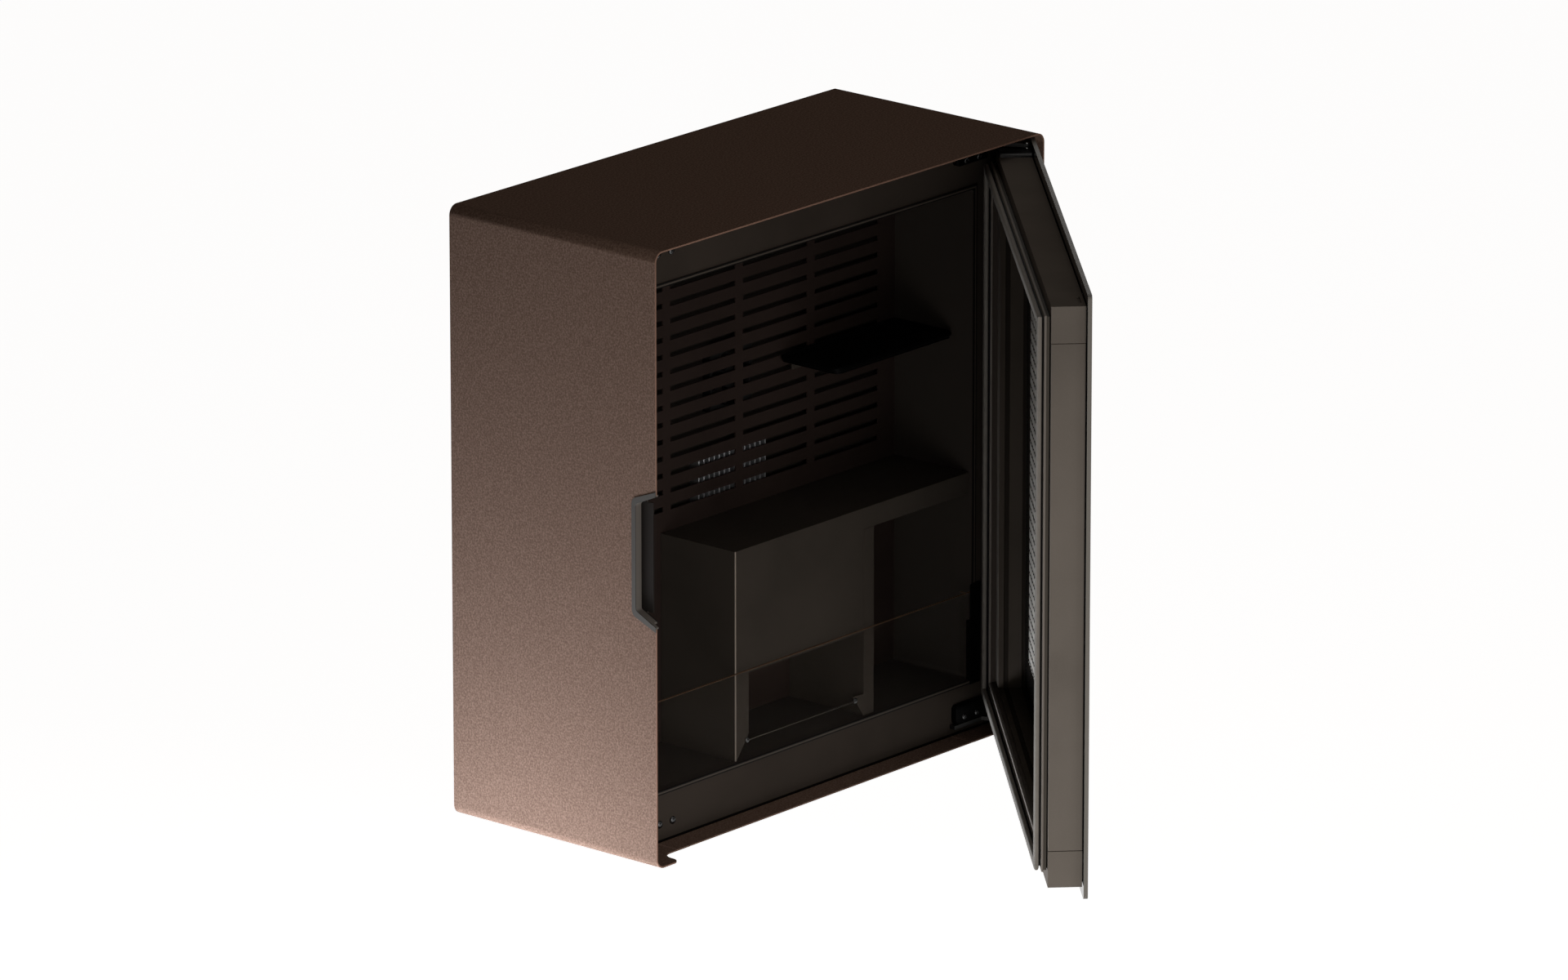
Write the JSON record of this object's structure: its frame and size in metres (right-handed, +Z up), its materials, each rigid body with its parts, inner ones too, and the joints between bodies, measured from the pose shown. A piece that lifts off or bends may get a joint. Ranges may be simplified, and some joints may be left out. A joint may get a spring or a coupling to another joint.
{
  "type": "wall-mounted minibar fridge",
  "caption": "Compact wall-hung minibar fridge: shallow metal casing, open louvred cold box with shelves and a clear bottle guard, and a glass-fronted door hinged on the right",
  "frame": {"origin": "on the wall plane, at the centre of the wall plate's four screw holes", "axes": "+X to the right of someone facing the fridge, the front faces -Y, +Y points into the wall, +Z up"},
  "size_m": [0.5658, 0.6463, 0.6],
  "materials": {
    "bronze_coat": "textured metallic powder coat",
    "frame_coat": "fine matt powder coat",
    "shelf_coat": "satin powder coat",
    "louvre_coat": "matt powder coat",
    "liner_plastic": "vacuum-formed, matt",
    "foam": "rigid insulation foam",
    "dark_plastic": "moulded, fine grain",
    "door_profile": "satin extruded profile",
    "trim_plastic": "satin moulding",
    "white_plastic": "smooth moulding",
    "gasket_rubber": "soft magnetic seal",
    "buffer_rubber": "plain",
    "clear_pane": "clear",
    "door_glass": "tempered, printed border, bevelled edge",
    "bare_zinc": "zinc plated",
    "dark_steel": "blackened",
    "bare_aluminium": "extruded",
    "ceramic": "white ceramic plates",
    "green_board": "solder mask"
  },
  "bodies": {
    "cabinet": {"outer_shell": "bronze_coat", "grip_trim": "dark_plastic", "bottom_panel": "frame_coat", "back_panel": "bare_zinc", "back_panel_screws": "bare_zinc", "wall_plate": "bare_zinc", "wall_buffers": "buffer_rubber", "face_frame": "frame_coat", "frame_screws": "dark_steel", "inner_liner": "liner_plastic", "insulation_foam": "foam", "louvre_panel": "louvre_coat", "cold_block": "bare_aluminium", "peltier_module": "ceramic", "cold_sink": "bare_aluminium", "hot_sink": "bare_aluminium", "hot_fan_frame": "dark_plastic", "cold_fan_frame": "dark_plastic", "power_supply": "bare_zinc", "control_board": "green_board", "board_standoffs": "white_plastic", "power_inlet": "dark_plastic", "lamp_housing": "white_plastic", "lamp_lens": "white_plastic", "main_shelf": "shelf_coat", "cubby_wall": "shelf_coat", "cubby_rod": "bare_zinc", "rod_pins": "bare_zinc", "upper_shelf": "shelf_coat", "upper_shelf_angle": "shelf_coat", "shelf_pegs": "dark_plastic", "guard_channel_left": "dark_plastic", "guard_channel_right": "dark_plastic", "lower_hinge_arm": "dark_steel", "upper_hinge_arm": "dark_steel", "lower_hinge_block": "dark_plastic", "upper_hinge_block": "dark_plastic", "hinge_screws": "bare_zinc"},
    "door": {"lower_pivot_block": "dark_steel", "lower_pivot_pin": "bare_zinc", "upper_pivot_block": "dark_steel", "upper_pivot_pin": "bare_zinc", "pivot_bush": "dark_plastic", "door_glass": "door_glass", "glass_tape": "buffer_rubber", "inner_pane": "clear_pane", "door_top_rail": "door_profile", "door_bottom_rail": "door_profile", "door_hinge_stile": "door_profile", "door_free_stile": "door_profile", "door_inner_frame": "trim_plastic", "door_gasket": "gasket_rubber", "magnet_strips": "dark_plastic"},
    "guard": {"guard_pane": "clear_pane"},
    "hot_fan": {"hot_fan_rotor": "dark_plastic"},
    "cold_fan": {"cold_fan_rotor": "dark_plastic"}
  },
  "joints": [
    {"name": "door_hinge", "type": "hinge", "parent": "cabinet", "child": "door", "pos_m": [0.266, -0.256, 0], "axis": [0, 0, 1], "range_deg": [-45, 60]},
    {"name": "guard_lift", "type": "slide", "parent": "cabinet", "child": "guard", "axis": [0, 0, 1], "range_m": [0, 0.07]},
    {"name": "hot_fan_spin", "type": "hinge", "parent": "cabinet", "child": "hot_fan", "pos_m": [0, -0.0275, -0.04], "axis": [0, 1, 0], "continuous": true},
    {"name": "cold_fan_spin", "type": "hinge", "parent": "cabinet", "child": "cold_fan", "pos_m": [0, -0.107, 0.09], "axis": [0, 1, 0], "continuous": true}
  ]
}
